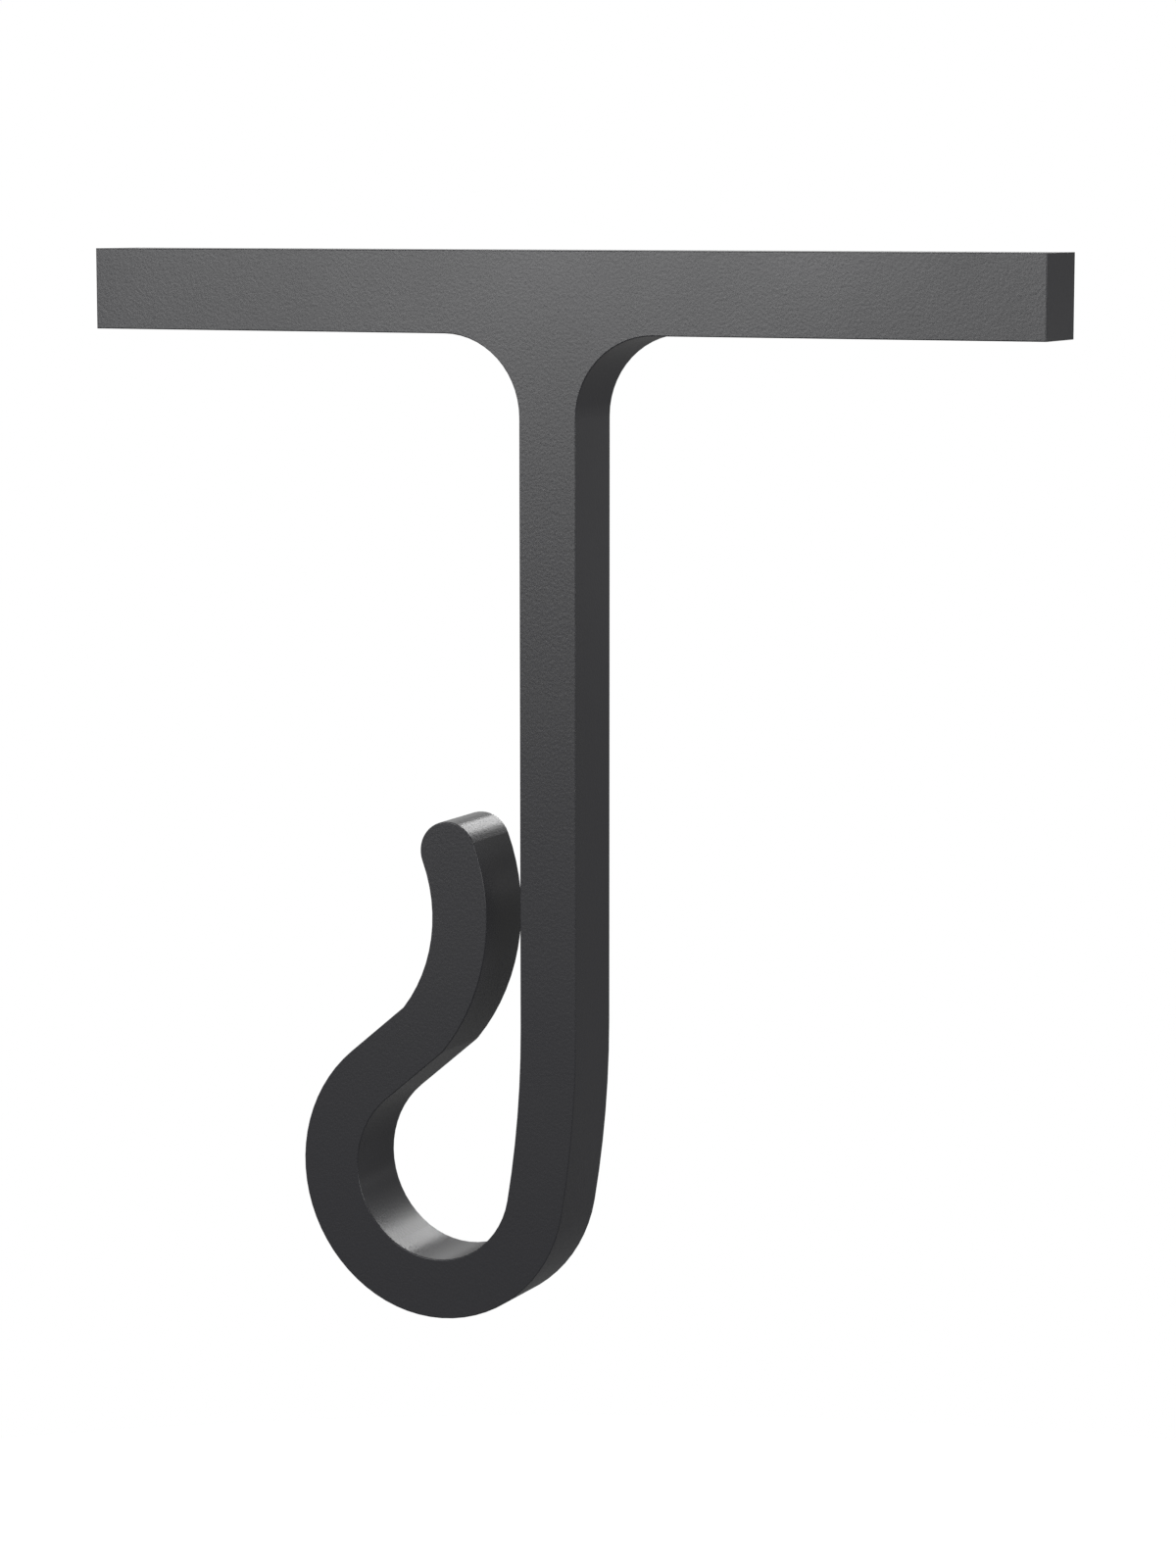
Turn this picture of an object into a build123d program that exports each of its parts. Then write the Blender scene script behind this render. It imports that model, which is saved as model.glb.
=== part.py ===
from build123d import *
from math import cos, radians, sin
import os

# String light clip, moulded in one piece. Its outline is the same at every depth.
# X runs along the bar, Y from the front face to the back face, Z up.
# The origin is the middle of the bar's top face. Sizes are in millimetres and degrees.

depth = 4.0  # front face to back face

bar_width = 50.0
bar_height = 4.0

strip = 3.0  # width of the leg and of the hook, seen from the front
leg_length = 33.9  # straight part, below the bar
root_fillet = 4.0  # between the bar's underside and the leg

# Under the leg the strip bends gently, then tightens into the loop's floor.
sweep_radius = 52.0  # to the middle of the strip
sweep_angle = 9.9
seat_inside = 4.1  # inside radius of the loop's floor, where the cord hangs
seat_angle = 113.0
loop_inside = 4.5  # inside radius of the loop's far side

# From the loop a straight back rises to the lip, which curls beside the leg.
back_slope = 40.0  # above the horizontal
lip_corner = 10.5  # the slight corner between the back and the lip
lip_inside = 7.5  # radius of the lip's hollow side
lip_angle = 61.0
throat = 1.82  # narrowest gap between the lip and the leg

edge_break = 0.05  # rounding of the front and back outlines

# Radii to the middle of the strip.
seat_radius = seat_inside + strip / 2
loop_radius = loop_inside + strip / 2
lip_radius = lip_inside + strip / 2

# The leg starts downwards, and by the back the strip has turned to its rise.
loop_angle = 270 - back_slope - sweep_angle - seat_angle

# The lip's widest point lies a throat away from the leg, and that places its start.
lip_heading = back_slope + lip_corner
lip_centre_x = -strip / 2 - throat - strip / 2 - lip_radius
lip_start_x = lip_centre_x + lip_radius * sin(radians(lip_heading))

with BuildPart() as clip:
    with BuildSketch(Plane.XZ):
        with BuildLine():
            leg = Line((0, -bar_height), (0, -bar_height - leg_length))
            sweep_bend = JernArc(leg @ 1, leg % 1, sweep_radius, -sweep_angle)
            seat = JernArc(sweep_bend @ 1, sweep_bend % 1, seat_radius, -seat_angle)
            loop = JernArc(seat @ 1, seat % 1, loop_radius, -loop_angle)
            back_length = (lip_start_x - (loop @ 1).X) / cos(radians(back_slope))
            back = PolarLine(loop @ 1, back_length, back_slope)
            lip_start = (cos(radians(lip_heading)), sin(radians(lip_heading)))
            JernArc(back @ 1, lip_start, lip_radius, lip_angle)
            offset(amount=strip / 2)
        make_face()
        Rectangle(bar_width, bar_height, align=(Align.CENTER, Align.MAX))
    extrude(amount=depth / 2, both=True)

    # The two concave corners where the leg meets the bar's underside.
    corners = clip.edges().filter_by(Axis.Y)
    fillet(corners.sort_by_distance((0, 0, -bar_height))[:2], radius=root_fillet)

    # All round the front face and the back face.
    levels = clip.edges().group_by(Axis.Y)
    fillet(levels[0] + levels[-1], radius=edge_break)

clip.part.label = "clip"

os.makedirs("parts", exist_ok=True)
export_step(clip.part, "parts/clip.step")
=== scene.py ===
import math

import bmesh
import bpy
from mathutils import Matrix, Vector


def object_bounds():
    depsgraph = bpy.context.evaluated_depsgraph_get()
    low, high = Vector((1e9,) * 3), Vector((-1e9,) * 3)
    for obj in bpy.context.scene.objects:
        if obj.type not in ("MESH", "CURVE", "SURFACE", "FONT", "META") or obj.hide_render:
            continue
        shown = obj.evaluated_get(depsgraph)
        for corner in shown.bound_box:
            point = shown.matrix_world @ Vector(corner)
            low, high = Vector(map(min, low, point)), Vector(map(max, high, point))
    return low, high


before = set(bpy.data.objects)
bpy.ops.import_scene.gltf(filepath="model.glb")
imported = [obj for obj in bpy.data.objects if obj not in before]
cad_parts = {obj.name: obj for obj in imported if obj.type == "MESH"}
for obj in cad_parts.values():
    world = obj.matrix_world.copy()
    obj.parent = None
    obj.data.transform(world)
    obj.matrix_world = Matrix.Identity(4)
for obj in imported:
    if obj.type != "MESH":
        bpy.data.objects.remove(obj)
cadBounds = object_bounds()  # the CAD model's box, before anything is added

print("frame loaded:", ", ".join(sorted(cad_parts)))

perMetre = 1000  # mm


def linearColour(hexColour):
    channels = []
    for start in (1, 3, 5):
        value = int(hexColour[start:start + 2], 16) / 255
        channels.append(value / 12.92 if value <= 0.04045 else ((value + 0.055) / 1.055) ** 2.4)
    return (*channels, 1)


def addNode(tree, kind, settings=None, values=None, links=None):
    # settings are attributes, values are input sockets, links go from (node, output) to an input
    node = tree.nodes.new(kind)
    for name, value in (settings or {}).items():
        setattr(node, name, value)
    for name, value in (values or {}).items():
        node.inputs[name].default_value = value
    for name, source in (links or {}).items():
        tree.links.new(source[0].outputs[source[1]], node.inputs[name])
    return node


def newMaterial(name):
    material = bpy.data.materials.new(name)
    material.use_nodes = True
    material.node_tree.nodes.clear()
    return material, material.node_tree


# The clip itself: one plastic moulding, its shape all in the CAD node
clip = {
    "node": "clip",
    "slot": "clip_plastic",
    "colour": "#313135",  # charcoal, faintly blue
    "colourDark": "#2c2c2f",  # where the melt cooled slower
    "cloud": 9.0,  # mm, width of the uneven patches
    "cloudDetail": 2.0,
    "roughness": (0.26, 0.34),  # glossier and duller patches of the satin finish
    "ior": 1.50,
    # The mould's spark-eroded pits, in mm. On the real one they are about 0.04, too fine to show.
    "grain": 0.14,
    "grainDetail": 1.0,
    "grainDepth": 0.004,  # mm
}


# ABS, coloured through and moulded in a lightly spark-eroded steel mould. The eye gets a dark
# body colour with no skin of its own, broad soft reflections along the curves and a fine grain.
def mouldedPlastic():
    material, tree = newMaterial("ABS moulded satin charcoal")
    place = addNode(tree, "ShaderNodeTexCoord")
    cloud = addNode(tree, "ShaderNodeTexNoise",
                    values={"Scale": perMetre / clip["cloud"], "Detail": clip["cloudDetail"],
                            "Roughness": 0.5},
                    links={"Vector": (place, "Object")})
    tint = addNode(tree, "ShaderNodeMix", {"data_type": "RGBA"},
                   links={"Factor": (cloud, "Fac")})
    tint.inputs["A"].default_value = linearColour(clip["colourDark"])
    tint.inputs["B"].default_value = linearColour(clip["colour"])
    satin = addNode(tree, "ShaderNodeMapRange",
                    values={"To Min": clip["roughness"][1], "To Max": clip["roughness"][0]},
                    links={"Value": (cloud, "Fac")})
    grain = addNode(tree, "ShaderNodeTexNoise",
                    values={"Scale": perMetre / clip["grain"], "Detail": clip["grainDetail"]},
                    links={"Vector": (place, "Object")})
    bump = addNode(tree, "ShaderNodeBump",
                   values={"Strength": 1.0, "Distance": clip["grainDepth"] / perMetre},
                   links={"Height": (grain, "Fac")})
    shader = addNode(tree, "ShaderNodeBsdfPrincipled",
                     values={"IOR": clip["ior"]},
                     links={"Base Color": (tint, "Result"), "Roughness": (satin, "Result"),
                            "Normal": (bump, "Normal")})
    addNode(tree, "ShaderNodeOutputMaterial", links={"Surface": (shader, "BSDF")})
    return material


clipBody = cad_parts[clip["node"]]
clipBody.data.materials.clear()
clipBody.data.materials.append(mouldedPlastic())
print("clip finished")

# Floor and surroundings. The white is for the camera alone: the clip has no metal or glass to
# show it, and its dark sides in the photo reflect a dim room.
stage = {
    "floorHeight": -0.12,  # m, well below the hanging clip
    "floorRadius": 0.21,  # m, a small sweep table in the dim room
    "floorSegments": 96,
    "floorColour": "#7c7c7c",  # its own colour, which the clip reflects
    "glowNearPaintedShade": 0.74,  # added for the camera, under the clip, and lower than glowFar: painted shade, the floor drawn darker under the clip
    "glowFar": 1.0,  # and from glowReach on, where the floor meets the white
    "glowReach": (0.05, 0.165),  # m from the middle
    "white": "#ffffff",
    # the room's light by height, from straight down at 0 to straight up at 1
    "roomLight": [(0.40, 0.20), (0.45, 0.20), (0.50, 0.083),
                  (0.575, 0.32), (0.70, 0.37), (1.0, 0.061)],
}


# Board painted matt, so that it takes the lamps evenly and shows no gloss.
def paleFloor():
    material, tree = newMaterial("Painted board matt")
    path = addNode(tree, "ShaderNodeLightPath")
    place = addNode(tree, "ShaderNodeTexCoord")
    reach = addNode(tree, "ShaderNodeVectorMath", {"operation": "LENGTH"},
                    links={0: (place, "Object")})
    # The camera's glow rises from the middle outwards. This is painted shade: the floor is darker
    # under the clip and white from glowReach on.
    glowWithPaintedShade = addNode(tree, "ShaderNodeMapRange", {"interpolation_type": "SMOOTHSTEP"},
                   {"From Min": stage["glowReach"][0], "From Max": stage["glowReach"][1],
                    "To Min": stage["glowNearPaintedShade"], "To Max": stage["glowFar"]},
                   {"Value": (reach, "Value")})
    seen = addNode(tree, "ShaderNodeMath", {"operation": "MULTIPLY"},
                   links={0: (path, "Is Camera Ray"), 1: (glowWithPaintedShade, "Result")})
    matt = addNode(tree, "ShaderNodeBsdfDiffuse",
                   values={"Color": linearColour(stage["floorColour"])})
    light = addNode(tree, "ShaderNodeEmission", links={"Strength": (seen, "Value")})
    both = addNode(tree, "ShaderNodeAddShader", links={0: (matt, "BSDF"), 1: (light, "Emission")})
    addNode(tree, "ShaderNodeOutputMaterial", links={"Surface": (both, "Shader")})
    return material


def makeFloor():
    disc = bmesh.new()
    bmesh.ops.create_circle(disc, cap_ends=True, segments=stage["floorSegments"],
                            radius=stage["floorRadius"])
    mesh = bpy.data.meshes.new("floor")
    disc.to_mesh(mesh)
    disc.free()
    mesh.materials.append(paleFloor())
    floor = bpy.data.objects.new("floor", mesh)
    floor.location.z = stage["floorHeight"]
    bpy.context.scene.collection.objects.link(floor)


def makeWorld():
    world = bpy.data.worlds.new("dim room")
    bpy.context.scene.world = world
    world.use_nodes = True
    tree = world.node_tree
    tree.nodes.clear()
    path = addNode(tree, "ShaderNodeLightPath")
    place = addNode(tree, "ShaderNodeTexCoord")
    split = addNode(tree, "ShaderNodeSeparateXYZ", links={"Vector": (place, "Generated")})
    height = addNode(tree, "ShaderNodeMapRange", values={"From Min": -1.0},
                     links={"Value": (split, "Z")})
    ramp = addNode(tree, "ShaderNodeValToRGB", links={"Fac": (height, "Result")})
    steps = ramp.color_ramp.elements
    while len(steps) < len(stage["roomLight"]):
        steps.new(0.5)
    for step, (position, level) in zip(steps, stage["roomLight"]):
        step.position = position
        step.color = (level, level, level, 1)
    room = addNode(tree, "ShaderNodeBackground", links={"Color": (ramp, "Color")})
    white = addNode(tree, "ShaderNodeBackground", values={"Color": linearColour(stage["white"])})
    mix = addNode(tree, "ShaderNodeMixShader",
                  links={"Fac": (path, "Is Camera Ray"),
                         1: (room, "Background"), 2: (white, "Background")})
    addNode(tree, "ShaderNodeOutputWorld", links={"Surface": (mix, "Shader")})


makeFloor()
makeWorld()
print("stage set")

# Lamps, all at one distance from the clip's middle: turn is degrees to the left of the front,
# rise degrees above level, size in m, power in W
lampDistance = 0.6  # m
lamps = {
    "frontSoftbox": {"turn": 24.2, "rise": 12.3, "size": (0.236, 0.267), "power": 1.35},
    "rightPanel": {"turn": -59.8, "rise": 8.3, "size": (0.686, 0.252), "power": 1.53},
    "rightRearStrip": {"turn": -143.3, "rise": -1.6, "size": (0.296, 0.052), "power": 0.021},
    "rearSoftbox": {"turn": 177.4, "rise": 16.2, "size": (0.210, 0.188), "power": 1.21},
    "rearPanel": {"turn": 153.0, "rise": 13.0, "size": (0.240, 0.220), "power": 0.10},
    "leftPanel": {"turn": 110.0, "rise": 10.0, "size": (0.600, 0.500), "power": 1.0},
    "topPanel": {"turn": 0.0, "rise": 90.0, "size": (0.500, 0.500), "power": 0.9},
}
clipMiddle = (Vector(cadBounds[0]) + Vector(cadBounds[1])) / 2


def makeLamp(name, lamp):
    data = bpy.data.lights.new(name, "AREA")
    data.shape = "RECTANGLE"
    data.size, data.size_y = lamp["size"]
    data.energy = lamp["power"]
    light = bpy.data.objects.new(name, data)
    turn, rise = math.radians(lamp["turn"]), math.radians(lamp["rise"])
    toLamp = Vector((-math.sin(turn) * math.cos(rise),
                     -math.cos(turn) * math.cos(rise),
                     math.sin(rise)))
    light.location = clipMiddle + toLamp * lampDistance
    light.rotation_euler = toLamp.to_track_quat("Z", "Y").to_euler()
    bpy.context.scene.collection.objects.link(light)


for lampName, lamp in lamps.items():
    makeLamp(lampName, lamp)
print("lamps:", len(lamps))

# Camera, worked back from the photo's perspective
camera = {
    "place": (0.085535, -0.183462, 0.002167),
    "turn": 24.678,  # degrees, to the right of the clip's front
    "tilt": 7.898,  # degrees downwards
    "lens": 95.888,  # mm
    "longSide": 36,  # mm, the picture's height on the sensor
    "clipStart": 0.01,  # m
    "clipEnd": 20,  # m
}


def makeCamera():
    data = bpy.data.cameras.new("camera")
    data.lens = camera["lens"]
    data.sensor_width = camera["longSide"]
    data.clip_start = camera["clipStart"]
    data.clip_end = camera["clipEnd"]
    eye = bpy.data.objects.new("camera", data)
    eye.location = camera["place"]
    eye.rotation_euler = (math.radians(90 - camera["tilt"]), 0, math.radians(camera["turn"]))
    bpy.context.scene.collection.objects.link(eye)
    bpy.context.scene.camera = eye


makeCamera()
bpy.context.scene.view_settings.view_transform = "Standard"
print("camera placed")
